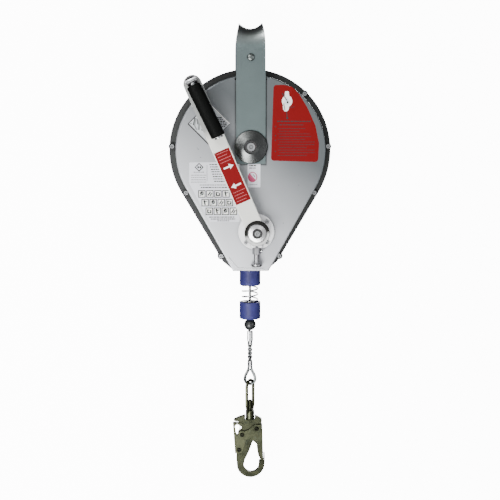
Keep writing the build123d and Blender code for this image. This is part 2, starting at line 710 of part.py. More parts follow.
def swivel_rivet():
    return turned_z([(0, hook_z - 24.0), (4.0, hook_z - 24.0), (4.0, hook_z + 0.3), (5.2, hook_z + 0.3),
                     (5.2, hook_z + 2.2), (3.7, hook_z + 3.0), (3.7, hook_z + 18.0), (2.6, hook_z + 20.2),
                     (0, hook_z + 20.8)])


def hook_body():
    outer = Polyline((-9.2, -9.5), (-20.0, -12.2), (-30.2, -17.0), (-31.6, -19.2), (-29.8, -21.0),
                     (-22.0, -21.6), (-18.0, -25.0), (-17.0, -34.0), (-17.5, -48.0), (-22.6, -62.0),
                     (-26.0, -80.0), (-26.8, -97.0), (-25.2, -113.0))
    outer += ThreePointArc((-25.2, -113.0), (1.5, -133.0), (27.4, -112.5))
    outer += Polyline((27.4, -112.5), (28.8, -102.5), (28.4, -85.5), (26.4, -85.5), (26.2, -99.8),
                      (17.2, -99.8), (17.0, -108.5))
    outer += ThreePointArc((17.0, -108.5), (1.8, -122.4), (-12.3, -108.5))
    outer += Polyline((-12.3, -108.5), (-10.3, -98.5), (-1.9, -80.8), (4.6, -62.5), (7.0, -57.0),
                      (15.0, -48.0), (20.5, -40.0), (21.5, -31.0), (21.0, -25.0), (23.3, -21.5),
                      (22.6, -17.0), (9.2, -9.5), (9.2, -18.4), (-9.2, -18.4), (-9.2, -9.5))
    plate = hook_plane_part(make_face(outer), -hook_half_t, hook_half_t)
    plate -= post(4.05, hook_z - 24.0, hook_z)
    for x, z in (gate_pivot, lock_pivot):
        plate -= Pos(0, 0, hook_z) * disc(3.0, -10, 10, x, z)
    return plate


def rivet(x, z, half, shank=3.0, head=4.3):
    """A tubular rivet with a dished head on both sides."""
    tall = 1.5
    return Pos(0, 0, hook_z) * turned([
        (1.5, half + tall), (head - 0.9, half + tall), (head, half + 0.4), (head, half), (shank, half),
        (shank, -half), (head, -half), (head, -half - 0.4), (head - 0.9, -half - tall), (1.5, -half - tall),
        (1.5, -half + 1.0), (0, -half + 1.0), (0, half - 1.0), (1.5, half - 1.0)], x, z)


def channel(outline, web, y_in, thick, holes=()):
    """Two side plates joined by a web: the shape of a folded steel gate or lever."""
    y_out = y_in + thick
    body = hook_plane_part(outline, y_in, y_out) + hook_plane_part(outline, -y_out, -y_in)
    body += hook_plane_part(web, -y_out, y_out)
    for x, z in holes:
        body -= Pos(0, 0, hook_z) * disc(3.06, -12, 12, x, z)
    return body


def hook_gate():
    plate = make_face(
        Polyline((-10.0, -39.8), (-4.0, -38.2), (3.0, -32.5), (10.0, -27.6), (23.6, -27.6), (25.6, -97.8),
                 (20.4, -97.8), (15.6, -88.0), (14.0, -80.0), (12.2, -65.0), (6.6, -60.2), (-3.0, -58.0),
                 (-14.0, -55.3), (-10.0, -39.8)))
    plate += Pos(*gate_tail) * Circle(8.0)
    web = make_face(Polyline((22.2, -27.6), (23.6, -27.6), (25.6, -97.8), (24.2, -97.8), close=True))
    return channel(plate, web, 6.5, 1.5, (gate_pivot, gate_tail))


def lock_lever():
    plate = make_face(
        Polyline((-33.4, -24.8), (-14.5, -24.8), (-14.5, -28.0), (-18.6, -31.0), (-18.2, -49.0),
                 (-7.6, -57.0), (-11.0, -68.0), (-15.6, -83.0), (-21.5, -85.8), (-29.3, -84.2), close=True))
    plate -= hull_of((-24.6, -32.0, 4.6), (-23.8, -46.0, 3.2))
    web = make_face(Polyline((-33.4, -24.8), (-31.8, -24.8), (-28.1, -84.0), (-29.3, -84.2), close=True))
    return channel(plate, web, 4.8, 1.4, (lock_pivot,))


def snap_hook():
    keep("swivel_eye", swivel_eye())
    keep("swivel_rivet", swivel_rivet())
    keep("hook_body", hook_body())
    keep("hook_gate", hook_gate())
    keep("lock_lever", lock_lever())
    keep("hook_rivets", rivet(*gate_pivot, 8.1), rivet(*lock_pivot, 6.3))
    tail = rivet(*gate_tail, 8.1)
    front = tail & block(-99, 99, -20, -6.5, -900, 0)
    keep("gate_tail_rivets", front, tail & block(-99, 99, 6.5, 20, -900, 0))


def main():
    housing()
    anchorage()
    drum()
    brake()
    retrieval()
    lifeline()
    snap_hook()
    os.makedirs("parts", exist_ok=True)
    for name, solids in made.items():
        found = [s for piece in solids for s in (piece.solids() if hasattr(piece, "solids") else [piece])]
        moved = [Pos(0, 0, -saddle_under_z) * s for s in found]
        export_step(moved[0] if len(moved) == 1 else Compound(children=moved), f"parts/{name}.step")
    print(len(made), "nodes")


main()
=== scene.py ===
"""Looks of the self retracting lifeline on its CAD frame: materials, rope, springs, labels, light, camera."""
import math
import random

import bpy
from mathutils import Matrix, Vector

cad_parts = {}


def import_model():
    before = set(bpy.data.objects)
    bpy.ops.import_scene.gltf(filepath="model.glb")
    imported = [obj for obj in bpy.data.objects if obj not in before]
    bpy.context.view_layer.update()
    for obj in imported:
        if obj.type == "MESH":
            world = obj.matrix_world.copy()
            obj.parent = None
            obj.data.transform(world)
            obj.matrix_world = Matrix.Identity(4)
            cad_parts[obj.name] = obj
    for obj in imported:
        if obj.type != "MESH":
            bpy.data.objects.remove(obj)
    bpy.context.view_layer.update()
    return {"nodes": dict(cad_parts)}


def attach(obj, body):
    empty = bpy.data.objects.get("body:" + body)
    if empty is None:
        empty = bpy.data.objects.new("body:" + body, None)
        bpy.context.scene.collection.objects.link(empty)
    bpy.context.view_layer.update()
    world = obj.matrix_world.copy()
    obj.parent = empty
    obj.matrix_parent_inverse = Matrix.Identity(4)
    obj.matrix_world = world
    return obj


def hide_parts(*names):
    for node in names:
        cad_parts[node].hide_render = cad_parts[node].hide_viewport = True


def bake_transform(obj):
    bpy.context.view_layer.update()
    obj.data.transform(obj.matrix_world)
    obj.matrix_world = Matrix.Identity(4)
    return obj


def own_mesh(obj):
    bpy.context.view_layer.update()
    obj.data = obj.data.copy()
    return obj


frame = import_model()
nodes = frame["nodes"]
random.seed(7)

# Places below are in millimetres and count from the drum's axis, which is this far from the frame's origin.
AXIS_Z = -210.0


def P(x, y, z):
    """A place in the frame, in metres."""
    return Vector((x / 1000, y / 1000, (z + AXIS_Z) / 1000))


# ---- materials ----
class Shader:
    """A small builder for one procedural material."""

    def __init__(self, name, metallic=0.0, **constants):
        self.mat = bpy.data.materials.new(name)
        self.mat.use_nodes = True
        self.tree = self.mat.node_tree
        self.bsdf = self.tree.nodes["Principled BSDF"]
        self.bsdf.inputs["Metallic"].default_value = metallic
        for key, value in constants.items():
            self.bsdf.inputs[key.replace("_", " ")].default_value = value
        self.space = self.node("ShaderNodeTexCoord").outputs["Object"]
        self.normal = None

    def node(self, kind, **settings):
        made = self.tree.nodes.new(kind)
        for key, value in settings.items():
            setattr(made, key, value)
        return made

    def link(self, a, b):
        self.tree.links.new(a, b)

    def feed(self, value, socket):
        """Links another socket, or sets a number or a colour."""
        if isinstance(value, bpy.types.NodeSocket):
            self.link(value, socket)
        elif isinstance(value, float):
            socket.default_value = value
        else:
            socket.default_value = (*value, 1.0)

    def noise(self, size, detail, stretch=(1, 1, 1)):
        """Noise with features of about size millimetres, drawn out along each axis by stretch."""
        mapping = self.node("ShaderNodeMapping")
        mapping.inputs["Scale"].default_value = [1000.0 / (size * s) for s in stretch]
        self.link(self.space, mapping.inputs["Vector"])
        tex = self.node("ShaderNodeTexNoise")
        tex.inputs["Scale"].default_value = 1.0
        tex.inputs["Detail"].default_value = detail
        tex.inputs["Roughness"].default_value = 0.55
        self.link(mapping.outputs["Vector"], tex.inputs["Vector"])
        return tex.outputs["Fac"]

    def span(self, value, low, high, out_low=0.0, out_high=1.0):
        m = self.node("ShaderNodeMapRange")
        m.inputs["From Min"].default_value = low
        m.inputs["From Max"].default_value = high
        m.inputs["To Min"].default_value = out_low
        m.inputs["To Max"].default_value = out_high
        self.link(value, m.inputs["Value"])
        return m.outputs["Result"]

    def mix(self, a, b, share):
        m = self.node("ShaderNodeMix", data_type="RGBA", blend_type="MIX")
        for socket, value in ((m.inputs[6], a), (m.inputs[7], b), (m.inputs[0], share)):
            self.feed(value, socket)
        return m.outputs[2]

    def bump(self, height, depth_mm):
        b = self.node("ShaderNodeBump")
        b.inputs["Strength"].default_value = 1.0
        b.inputs["Distance"].default_value = depth_mm / 1000
        self.link(height, b.inputs["Height"])
        if self.normal is not None:
            self.link(self.normal, b.inputs["Normal"])
        self.normal = b.outputs["Normal"]

    def away_from(self, point):
        shift = self.node("ShaderNodeVectorMath", operation="SUBTRACT")
        shift.inputs[1].default_value = point
        self.link(self.space, shift.inputs[0])
        return shift.outputs[0]

    def painted_light_ramp(self, base, way, low, high, far):
        """Painted light and shade: turns base into the colour far between two distances along a direction, in
        millimetres.
        """
        dot = self.node("ShaderNodeVectorMath", operation="DOT_PRODUCT")
        self.link(self.away_from(P(0, 0, 0)), dot.inputs[0])
        dot.inputs[1].default_value = Vector(way) * 1000
        return self.mix(base, far, self.span(dot.outputs["Value"], low, high))

    def painted_corner_shade(self, base, dark, reach_mm, amount):
        """Painted shade in corners and beside overlapping pieces, where ambient occlusion is low."""
        ao = self.node("ShaderNodeAmbientOcclusion", samples=6)
        ao.inputs["Distance"].default_value = reach_mm / 1000
        return self.mix(base, dark, self.span(ao.outputs["AO"], 0.35, 0.95, amount, 0.0))

    def done(self, color, rough):
        self.feed(color, self.bsdf.inputs["Base Color"])
        self.feed(rough, self.bsdf.inputs["Roughness"])
        if self.normal is not None:
            self.link(self.normal, self.bsdf.inputs["Normal"])
        return self.mat


def srgb(r, g, b):
    """Screen colour, 0 to 255, to the linear value a shader takes."""
    return tuple(((c / 255) / 12.92 if c <= 10 else ((c / 255 + 0.055) / 1.055) ** 2.4) for c in (r, g, b))


def scaled(color, k):
    return tuple(min(1.0, c * k) for c in color)


def metal(name, color, rough, mottle=0.12, brush=None, grain=0.004, fade=None):
    """Bare metal with a cloudy tone, a fine grain and painted shade in corners. brush stretches its lines;
    fade is painted light for painted_light_ramp.
    """
    s = Shader(name, metallic=1.0)
    clouds = s.span(s.noise(22, 5), 0.3, 0.7)
    fine = s.span(s.noise(2.2, 3), 0.25, 0.75)
    base = s.mix(scaled(color, 1 - mottle), scaled(color, 1 + mottle), clouds)
    base = s.mix(base, scaled(color, 0.72), s.span(fine, 0.72, 1.0, 0.0, 0.5))
    roughness = s.span(clouds, 0.0, 1.0, rough * (1 - mottle), rough * (1 + mottle))
    s.bump(fine, grain)
    if brush:
        s.bump(s.noise(1.0, 2, brush), 0.006)
    if fade:
        base = s.painted_light_ramp(base, *fade)
    # painted shade in corners and beside overlapping pieces
    return s.done(s.painted_corner_shade(base, scaled(color, 0.12), 5.0, 0.6), roughness)


def paint(name, color, rough, speck=0.1, peel=0.02, metallic=0.0, dirt=0.15, fade=None, **constants):
    """A sprayed coat: orange peel, faint clouds, specks and painted shade in corners. fade is painted light
    for painted_light_ramp.
    """
    s = Shader(name, metallic=metallic, **constants)
    clouds = s.span(s.noise(60, 6), 0.3, 0.7)
    specks = s.span(s.noise(0.9, 2), 0.3, 0.7)
    base = s.mix(scaled(color, 1 - speck), scaled(color, 1 + speck), specks)
    base = s.mix(base, scaled(color, 1 - dirt), s.span(clouds, 0.5, 1.0, 0.0, 0.8))
    s.bump(s.noise(1.6, 3), peel)
    if fade:
        base = s.painted_light_ramp(base, *fade)
    # painted shade in corners and beside overlapping pieces
    base = s.painted_corner_shade(base, scaled(color, 0.25), 7.0, 0.5)
    return s.done(base, s.span(clouds, 0.0, 1.0, rough * 0.85, rough * 1.2))


# millimetres from one turned ring to the next
RING_PITCH = 0.35


def turned_metal(name, color, rough, x, z):
    """A face turned about an axis along Y: fine rings, with a bow-tie of light across them."""
    s = Shader(name, metallic=1.0, Anisotropic=0.75)
    flat = s.node("ShaderNodeVectorMath", operation="MULTIPLY")
    flat.inputs[1].default_value = (1000.0, 0.0, 1000.0)
    s.link(s.away_from(P(x, 0, z)), flat.inputs[0])
    radius = s.node("ShaderNodeVectorMath", operation="LENGTH")
    s.link(flat.outputs[0], radius.inputs[0])
    rings = s.node("ShaderNodeTexNoise", noise_dimensions="1D")
    rings.inputs["Scale"].default_value = 1.0 / RING_PITCH
    rings.inputs["Detail"].default_value = 3.0
    s.link(radius.outputs["Value"], rings.inputs["W"])
    s.bump(rings.outputs["Fac"], 0.015)
    tangent = s.node("ShaderNodeTangent", direction_type="RADIAL", axis="Y")
    s.link(tangent.outputs[0], s.bsdf.inputs["Tangent"])
    clouds = s.span(s.noise(9, 4), 0.3, 0.7)
    base = s.mix(scaled(color, 0.86), scaled(color, 1.08), s.span(rings.outputs["Fac"], 0.3, 0.7))
    return s.done(s.mix(base, scaled(color, 0.8), s.span(clouds, 0.6, 1.0, 0.0, 0.5)), rough)


def rubber(name, color, rough, grain=0.03, size=0.8, **constants):
    """Moulded rubber, plastic or lining: soft clouds and a fine grain of size millimetres."""
    s = Shader(name, **constants)
    clouds = s.span(s.noise(14, 5), 0.3, 0.7)
    base = s.mix(scaled(color, 0.82), scaled(color, 1.18), clouds)
    s.bump(s.noise(size, 3), grain)
    return s.done(base, s.span(clouds, 0.0, 1.0, rough * 0.85, rough * 1.15))


def zinc_passivate(name, tone):
    """Yellow-green passivated zinc: iridescent clouds from olive to straw over cast steel."""
    s = Shader(name, metallic=0.9)
    a = s.span(s.noise(16, 5), 0.32, 0.68)
    b = s.span(s.noise(6, 4), 0.35, 0.7)
    base = s.mix(scaled(srgb(108, 114, 86), tone), scaled(srgb(142, 146, 110), tone), a)
    base = s.mix(base, scaled(srgb(120, 130, 112), tone), s.span(b, 0.55, 1.0, 0.0, 0.6))
    wear = s.span(s.noise(1.7, 3), 0.66, 0.8)
    base = s.mix(base, srgb(92, 92, 70), s.span(wear, 0.0, 1.0, 0.0, 0.5))
    s.bump(s.noise(1.1, 3), 0.03)
    # painted shade in corners and beside overlapping pieces
    return s.done(s.painted_corner_shade(base, srgb(26, 26, 18), 4.0, 0.9), s.span(a, 0.0, 1.0, 0.26, 0.38))


# the crank's axis hangs CRANK_REACH under the drum's, a little to the right
CRANK_REACH, CRANK_ANGLE = 156.0, math.radians(3.68)
CRANK_X, CRANK_Z = CRANK_REACH * math.sin(CRANK_ANGLE), -CRANK_REACH * math.cos(CRANK_ANGLE)
ARM_LEAN = math.radians(23.3)

M = {
    # painted reflection: the cover's coat turns pale towards the lower left
    "cover": paint("cover_coat", srgb(84, 89, 91), 0.42, speck=0.05, peel=0.01, metallic=0.35, dirt=0.08,
                   fade=((-0.62, 0, -0.78), -50, 260, srgb(231, 232, 236))),
    "rim": paint("rim_coat", srgb(41, 43, 42), 0.5, speck=0.1, metallic=0.4),
    # painted light: the bail's top bend takes another tone with height, for how it reflects the surroundings
    "bail": metal("bail_steel", srgb(112, 125, 125), 0.38, 0.02, (6, 6, 90),
                  fade=((0, 0, 1), 183, 203, srgb(140, 146, 144))),
    "pin": metal("pin_steel", srgb(104, 110, 108), 0.42, 0.1),
    "bright": metal("bright_steel", srgb(200, 202, 203), 0.25, 0.08),
    "washer": turned_metal("turned_washer", srgb(84, 86, 85), 0.22, 0, 0),
    "hub": paint("hub_alloy", srgb(253, 253, 253), 0.3, speck=0.02, peel=0.01, metallic=0.1, dirt=0.05),
    "cap": turned_metal("turned_cap", srgb(254, 254, 252), 0.34, CRANK_X, CRANK_Z),
    # painted shade and dark reflection: the arm turns grey towards its end under the grip
    "arm": paint("arm_coat", srgb(226, 226, 218), 0.3, speck=0.02, peel=0.01, metallic=0.1, dirt=0.06,
                 fade=((-math.sin(ARM_LEAN), 0, math.cos(ARM_LEAN)), 42, 60, srgb(146, 148, 146))),
    # painted shade: the crank's collar turns nearly black at its top, above the cap
    "collar": metal("collar_steel", srgb(226, 226, 224), 0.35, 0.06,
                    fade=((-0.2, 0, 0.98), -160, -154, srgb(34, 34, 32))),
    "zinc_dark": zinc_passivate("zinc_forging", 0.14),
    # a nearly black copy of the zinc: painted shade on the hook's edges and rivets
    "zinc_edge": zinc_passivate("zinc_edge", 0.04),
    "grip": rubber("grip_rubber", (0.0025, 0.0028, 0.0026), 0.6, 0.05, 1.1, Specular_IOR_Level=0.06),
    "blue": rubber("blue_rubber", srgb(44, 44, 96), 0.5, 0.04, 1.0, Specular_IOR_Level=0.25),
    "black": rubber("black_moulding", (0.012, 0.014, 0.014), 0.35, 0.03),
    "dark": metal("black_oxide", (0.05, 0.05, 0.05), 0.38, 0.2),
    "zinc": zinc_passivate("zinc_passivate", 0.2),
    "gear": metal("gear_steel", srgb(150, 150, 152), 0.35, 0.1, grain=0.008),
    "drum": metal("drum_alloy", srgb(190, 190, 194), 0.4, 0.08, grain=0.02),
    "bronze": metal("oiled_bronze", srgb(176, 130, 70), 0.35, 0.14),
    "lining": rubber("brake_lining", (0.06, 0.04, 0.03), 0.8, 0.08, 0.6),
    "gasket": rubber("gasket_rubber", (0.014, 0.014, 0.014), 0.6, 0.03),
    "spring": metal("spring_steel", srgb(158, 158, 160), 0.26, 0.14, grain=0.01),
    "blued": metal("blued_strip", srgb(86, 88, 100), 0.3, 0.2),
    "rope": metal("rope_wire", srgb(112, 115, 114), 0.36, 0.22, grain=0.02),
    "red": paint("label_red", (0.15, 0.001, 0.002), 0.6, speck=0.04, peel=0.006, dirt=0.12,
                 Specular_IOR_Level=0.12),
    "pale": paint("label_pale", srgb(216, 217, 223), 0.4, speck=0.03, peel=0.006, dirt=0.08),
    "silver": paint("plate_silver", srgb(188, 192, 194), 0.4, speck=0.06, peel=0.006, metallic=0.2, dirt=0.1),
    "grey": paint("print_grey", srgb(120, 124, 124), 0.5, speck=0.08, peel=0.004, dirt=0.1),
    "white": paint("print_white", srgb(238, 238, 234), 0.45, speck=0.03, peel=0.004, dirt=0.05),
    "ink": paint("print_ink", srgb(22, 20, 22), 0.6, speck=0.08, peel=0.004, dirt=0.1),
    "pink": paint("print_pink", srgb(178, 96, 98), 0.6, speck=0.06, peel=0.004, dirt=0.1),
    "maroon": paint("print_maroon", (0.03, 0.001, 0.002), 0.6, speck=0.08, peel=0.004, dirt=0.1),
    "magenta": paint("print_magenta", srgb(176, 60, 98), 0.45, speck=0.05, peel=0.004, dirt=0.1),
    "etched": paint("etched_line", srgb(70, 72, 74), 0.5, speck=0.08, peel=0.004, dirt=0.1),
}
COAT = {
    "front_cover": "cover", "rear_cover": "cover", "cover_gasket": "gasket", "cover_screws": "bright",
    "anchor_bail": "bail", "bail_cross_pin": "pin", "clamp_washers": "washer", "shaft_bolts": "bright",
    "main_shaft": "gear", "spring_arbor": "gear", "brake_linings": "lining", "brake_pressure_plate": "gear",
    "brake_disc_spring": "blued", "brake_nut": "dark", "hub_housing": "hub", "hub_screws": "bright",
    "plunger_body": "gear", "plunger_spring": "spring", "idler_pin": "gear", "rope_nozzle": "black",
    "ratchet_wheel": "gear", "drum_hub": "drum", "front_drum_flange": "drum", "rear_drum_flange": "drum",
    "wound_rope": "rope", "ring_gear": "gear", "drum_bushes": "bronze", "pawl_pins": "gear",
    "spring_case": "drum", "power_spring": "blued", "pawl_right": "gear", "pawl_left": "gear",
    "idler_gear": "gear", "crank_sleeve": "bronze", "crank_shaft": "gear", "crank_pinion": "gear",
    "crank_hub": "collar", "crank_cap": "cap", "crank_bolt": "bright", "crank_arm": "arm",
    "grip_clevis": "gear", "grip_pivot_pin": "bright", "grip_spindle": "bright", "grip_handle": "grip",
    "plunger_knob": "gear", "ball_stop": "black", "rope_ferrule": "bright", "lower_bumper": "blue",
    "upper_bumper": "blue", "thimble": "pin", "swivel_eye": "zinc", "hook_body": "zinc_dark",
    "hook_rivets": "zinc_edge", "swivel_rivet": "zinc_dark", "hook_gate": "zinc", "lock_lever": "zinc",
    "gate_tail_rivets": "zinc_edge", "bumper_spring": "spring", "lifeline_rope": "rope", "rope_lead": "rope",
}
# painted shade: these edges take a dark coat on their bevels
PAINTED_SHADE_EDGES = {"hook_body": "zinc_edge", "hook_gate": "zinc_edge", "lock_lever": "zinc_edge",
              "grip_clevis": "dark", "plunger_knob": "dark", "plunger_body": "dark"}
# bevel widths in millimetres; those in PAINTED_SHADE_EDGES take a second, darker coat on the bevel, a painted
# shade along the edges
BEVELS = {"crank_arm": 0.6, "hook_body": 1.5, "hook_gate": 0.7, "lock_lever": 0.6, "anchor_bail": 0.8,
          "grip_clevis": 0.9, "hub_housing": 0.4, "crank_hub": 0.3, "plunger_knob": 0.7, "plunger_body": 0.7}

for name, coat in COAT.items():
    node = nodes[name]
    node.data.materials.clear()
    node.data.materials.append(M[coat])
    if name in BEVELS:
        bevel = node.modifiers.new("edge", "BEVEL")
        bevel.width = BEVELS[name] / 1000
        bevel.segments = 3
        bevel.limit_method = "ANGLE"
        bevel.angle_limit = math.radians(38)
        bevel.harden_normals = False
        if name in PAINTED_SHADE_EDGES:
            node.data.materials.append(M[PAINTED_SHADE_EDGES[name]])
            bevel.material = 1


# the flange band lies within this of the drum's middle plane, in metres
FLANGE_REACH = 0.0102


def paint_rim(name, side):
    """The flange band and its screw lugs are darker than the pan."""
    mesh = nodes[name].data
    mesh.materials.append(M["rim"])
    for face in mesh.polygons:
        if side * face.center.y > -FLANGE_REACH:
            face.material_index = 1


paint_rim("front_cover", 1)
paint_rim("rear_cover", -1)


# ---- rope and springs ----
# the rope leaves the nozzle under the housing; its strands turn once in each LAY
BOTTOM_Z = -229.5
OUTLET_Z, NOZZLE_Z = -222.0, BOTTOM_Z + 0.2
ROPE_R, LEG_X = 2.4, 2.5
LAY = 31.0
PAYOUT = 298.0  # rope hidden in the closely spaced rings, for the twist alone


def new_object(name, verts, faces, coat, smooth=True):
    mesh = bpy.data.meshes.new(name)
    mesh.from_pydata([tuple(v) for v in verts], [], faces)
    mesh.materials.append(M[coat])
    for face in mesh.polygons:
        face.use_smooth = smooth
    mesh.update()
    made = bpy.data.objects.new(name, mesh)
    bpy.context.collection.objects.link(made)
    return made


def rounded(points, radii, step=1.5):
    """The line through points in X and Z, with its corners rounded, as closely spaced points."""
    corners = [Vector((x, 0, z)) for x, z in points]
    line = [corners[0]]
    for here, before, after, r in zip(corners[1:-1], corners, corners[2:], radii):
        a, b = (before - here).normalized(), (after - here).normalized()
        half = a.angle(b) / 2
        reach = r / math.tan(half)
        centre = here + (a + b).normalized() * (r / math.sin(half))
        first, last = here + a * reach - centre, here + b * reach - centre
        turn = first.angle(last)
        count = max(2, int(r * turn / step))
        for k in range(count + 1):
            line.append(centre + first.slerp(last, k / count).normalized() * r)
    line.append(corners[-1])
    dense = [line[0]]
    for a, b in zip(line, line[1:]):
        gap = (b - a).length
        count = max(1, round(gap / step))
        dense += [a.lerp(b, k / count) for k in range(1, count + 1) if gap > 1e-4]
    return dense


def strand_profile(angle, r, lobes=6):
    """Radius of a rope's outline of six round strands."""
    t = (angle * lobes / (2 * math.pi)) % 1 - 0.5
    t *= 2 * math.pi / lobes
    return 2 * r / 3 * math.cos(t) + math.sqrt(max(0.0, (r / 3) ** 2 - (2 * r / 3 * math.sin(t)) ** 2))


def tube(name, line, coat, r, twists=None, around=48):
    """A tube along a line of points in millimetres; twists turns its stranded outline from ring to ring."""
    verts, faces = [], []
    side = None
    for i, at in enumerate(line):
        ahead = (line[min(i + 1, len(line) - 1)] - line[max(i - 1, 0)]).normalized()
        if side is None:
            side = ahead.orthogonal().normalized()
        side = (side - ahead * side.dot(ahead)).normalized()
        other = ahead.cross(side)
        for k in range(around):
            a = 2 * math.pi * k / around
            size = r if twists is None else strand_profile(a, r)
            b = a if twists is None else a + twists[i]
            v = at + (side * math.cos(b) + other * math.sin(b)) * size
            verts.append(P(*v))
    for i in range(len(line) - 1):
        for k in range(around):
            n = (k + 1) % around
            faces.append((i * around + k, i * around + n, (i + 1) * around + n, (i + 1) * around + k))
    faces.append(tuple(reversed(range(around))))
    faces.append(tuple((len(line) - 1) * around + k for k in range(around)))
    return new_object(name, verts, faces, coat)


def lifeline():
    """The stranded rope from the outlet to its eye. Rings are close in the nozzle, where it pays out."""
    ball, ferrule_top, ferrule_foot = -338.8, -351.4, -371.0
    loop_start, loop_top, loop_foot, loop_x = -425.0, -440.5, -455.6, 10.3
    points = [(0, NOZZLE_Z), (0, ball + 4.0), (-LEG_X, ferrule_top - 7.0), (-LEG_X, loop_start),
              (-loop_x, loop_top), (-loop_x, loop_foot), (loop_x, loop_foot), (loop_x, loop_top),
              (LEG_X, loop_start), (LEG_X, ferrule_top - 1.0)]
    line = rounded(points, [60, 60, 22, 22, 10.2, 10.2, 22, 22])
    wrap_length, wrap_turn = 40.0, 4 * math.pi
    for k, at in enumerate(line):
        share = (ferrule_foot - 4.0 - at.z) / wrap_length
        if 0 < share < 1:
            turn = wrap_turn * (share * share * (3 - 2 * share))
            line[k] = Vector((at.x * math.cos(turn), at.x * math.sin(turn), at.z))
    rings = 240
    zone = OUTLET_Z - NOZZLE_Z
    head, twists = [], []
    for k in range(rings):
        w = k / rings
        t = 0.5 - math.sin(math.asin(1 - 2 * w) / 3)
        head.append(Vector((0, 0, OUTLET_Z - zone * t)))
        twists.append(2 * math.pi * (zone * t + PAYOUT * w) / LAY)
    along = zone + PAYOUT
    last = line[0]
    for at in line:
        along += (at - last).length
        last = at
        twists.append(2 * math.pi * along / LAY)
    path = head + line
    rope = tube("stranded_lifeline", path, "rope", ROPE_R, twists)
    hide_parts("lifeline_rope")
    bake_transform(rope)


def coil(name, node, body, x, y, z0, z1, mean_r, wire_r, pitch, first, around=14):
    """An open coil with a nearly closed turn at each end."""
    height = z1 - z0 - 2 * wire_r
    closed, closed_pitch = 0.9, 2.2 * wire_r
    open_turns = (height - 2 * closed * closed_pitch) / pitch
    total = open_turns + 2 * closed
    line = []
    count = int(total * 56)
    for k in range(count + 1):
        n = total * k / count
        low = min(n, closed) * closed_pitch
        mid = min(max(n - closed, 0), open_turns) * pitch
        high = max(n - closed - open_turns, 0) * closed_pitch
        a = first + 2 * math.pi * n
        rise = wire_r + low + mid + high
        line.append(Vector((x + mean_r * math.cos(a), y + mean_r * math.sin(a), z0 + rise)))
    spring = tube(name, line, "spring", wire_r, None, around)
    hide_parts(node)
    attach(spring, body)
    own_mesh(spring)


NECK_FOOT = CRANK_Z - 28.5
lifeline()
coil("bumper_coil", "bumper_spring", "lifeline", 0, 0, -304.8, -250.2, 14.6, 1.4, 10.7,
     math.radians(40))
coil("plunger_coil", "plunger_spring", "housing", CRANK_X, -58.0, NECK_FOOT + 6.45,
     NECK_FOOT + 10.25, 3.6, 0.4, 1.1, 0.0, 10)


# ---- labels: plain shapes and lines, without words ----
# how far the lowest print stands out, how far each level adds, and how far all reach into the face
PRINT_PROUD, PRINT_STEP, PRINT_SUNK = 0.14, 0.09, 0.1


def decal(name, y, shapes, body):
    """Flat printed shapes on a face that looks along -Y; each is (outline in X and Z, level, coat)."""
    verts, faces, coats, used = [], [], [], []
    for outline, level, coat in shapes:
        n = len(outline)
        area2 = sum(a[0] * b[1] - b[0] * a[1] for a, b in zip(outline, outline[1:] + outline[:1]))
        if area2 < 0:
            outline = outline[::-1]
        start = len(verts)
        front = y - PRINT_PROUD - PRINT_STEP * level
        verts += [P(x, front, z) for x, z in outline]
        verts += [P(x, y + PRINT_SUNK, z) for x, z in outline]
        made = [tuple(range(start, start + n))]
        made += [(start + (k + 1) % n, start + k, start + n + k, start + n + (k + 1) % n) for k in range(n)]
        if coat not in used:
            used.append(coat)
        faces += made
        coats += [used.index(coat)] * len(made)
    made = new_object(name, verts, faces, used[0], smooth=False)
    for coat in used[1:]:
        made.data.materials.append(M[coat])
    for face, index in zip(made.data.polygons, coats):
        face.material_index = index
    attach(made, body)


def round_off(points, r, steps=6):
    """An outline with rounded corners."""
    out = []
    count = len(points)
    for k in range(count):
        here, before, after = (Vector((*points[(k + d) % count], 0)) for d in (0, -1, 1))
        a, b = (before - here).normalized(), (after - here).normalized()
        half = a.angle(b) / 2
        reach = r / math.tan(half)
        centre = here + (a + b).normalized() * (r / math.sin(half))
        first, last = here + a * reach - centre, here + b * reach - centre
        for n in range(steps + 1):
            at = centre + first.slerp(last, n / steps).normalized() * r
            out.append((at.x, at.y))
    return out


def oval(x, z, rx, rz, n=40, start=0.0, end=360.0):
    return [(x + rx * math.cos(math.radians(start + (end - start) * k / n)),
             z + rz * math.sin(math.radians(start + (end - start) * k / n))) for k in range(n)]


def bar(x0, x1, z, t):
    return [(x0, z - t / 2), (x1, z - t / 2), (x1, z + t / 2), (x0, z + t / 2)]


def lozenge(x, z, half):
    return [(x - half, z), (x, z - half), (x + half, z), (x, z + half)]


def stroke(x0, z0, x1, z1, t):
    d = Vector((x1 - x0, z1 - z0)).normalized() * t / 2
    return [(x0 - d.y, z0 + d.x), (x1 - d.y, z1 + d.x), (x1 + d.y, z1 - d.x), (x0 + d.y, z0 - d.x)]


def dashes(x0, x1, z, t, level, coat):
    """A line of short strokes, like small print."""
    out = []
    x = x0
    while x < x1 - 1.5:
        w = random.uniform(1.6, 5.5)
        out.append((bar(x, min(x + w, x1), z, t), level, coat))
        x += w + 0.8
    return out


FACE_Y, ARM_Y = -47.0, -84.0


